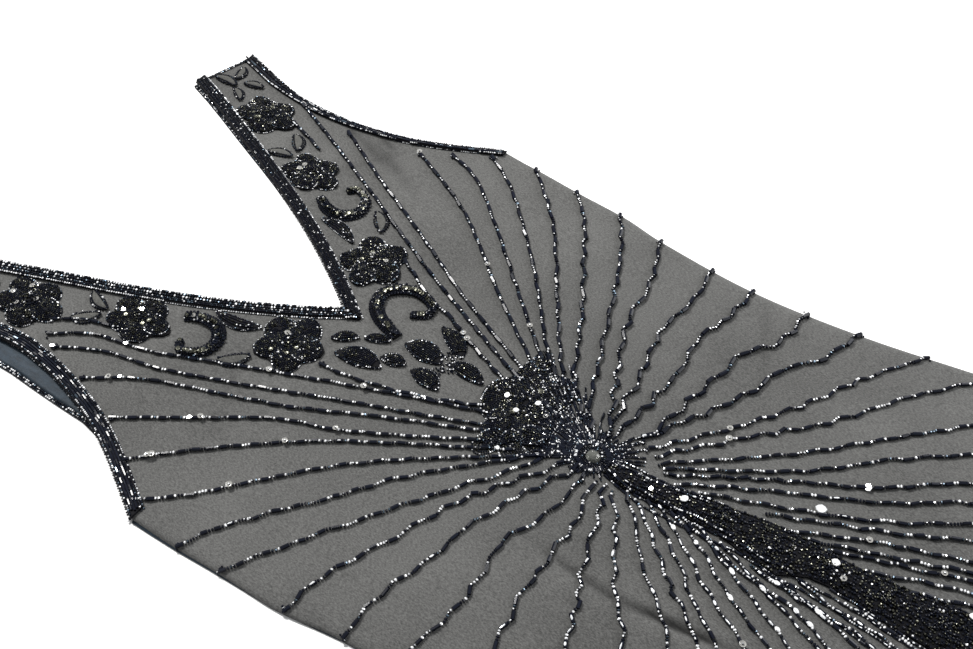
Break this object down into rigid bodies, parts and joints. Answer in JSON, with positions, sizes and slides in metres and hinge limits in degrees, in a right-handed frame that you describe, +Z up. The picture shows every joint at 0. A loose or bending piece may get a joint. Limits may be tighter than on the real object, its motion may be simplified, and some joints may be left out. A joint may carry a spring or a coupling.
{
  "type": "maxi dress",
  "caption": "Sleeveless V-neck maxi dress laid flat, grey cloth front and back with beaded edge bands, raised beaded flowers, leaves, scrolls and a centre column.",
  "frame": {"origin": "middle of the laid-out dress, on the surface that it lies on", "axes": "+X towards the wearer's left side, +Y along the length towards the shoulders, +Z up out of the front"},
  "size_m": [0.632, 1.47, 0.0133],
  "materials": {
    "cloth": "matte",
    "lining": "matte",
    "beads": "gloss",
    "stone": "gloss"
  },
  "bodies": {
    "root": {"front_panel": "cloth", "back_panel": "lining", "front_neck_band_left": "beads", "front_neck_band_right": "beads", "front_armhole_band_left": "beads", "front_armhole_band_right": "beads", "back_neck_band_left": "beads", "back_neck_band_right": "beads", "back_armhole_band_left": "beads", "back_armhole_band_right": "beads", "flower_upper_left": "beads", "flower_upper_right": "beads", "flower_middle_left": "beads", "flower_middle_right": "beads", "flower_lower_left": "beads", "flower_lower_right": "beads", "bouquet": "beads", "leaf_strap_outer_left": "beads", "leaf_strap_outer_right": "beads", "leaf_strap_inner_left": "beads", "leaf_strap_inner_right": "beads", "leaf_strap_lower_left": "beads", "leaf_strap_lower_right": "beads", "leaf_strap_side_left": "beads", "leaf_strap_side_right": "beads", "leaf_middle_outer_left": "beads", "leaf_middle_outer_right": "beads", "leaf_middle_inner_left": "beads", "leaf_middle_inner_right": "beads", "leaf_lower_top_left": "beads", "leaf_lower_top_right": "beads", "leaf_lower_side_left": "beads", "leaf_lower_side_right": "beads", "leaf_foot_upper": "beads", "leaf_foot_upper_tip": "beads", "leaf_foot_lower": "beads", "leaf_foot_lower_tip": "beads", "leaf_sprig_left": "beads", "leaf_sprig_top": "beads", "leaf_sprig_right": "beads", "leaf_sprig_stem": "beads", "scroll_hook": "beads", "scroll_left": "beads", "scroll_right": "beads", "centre_column": "beads", "centre_stone": "stone"}
  },
  "joints": []
}
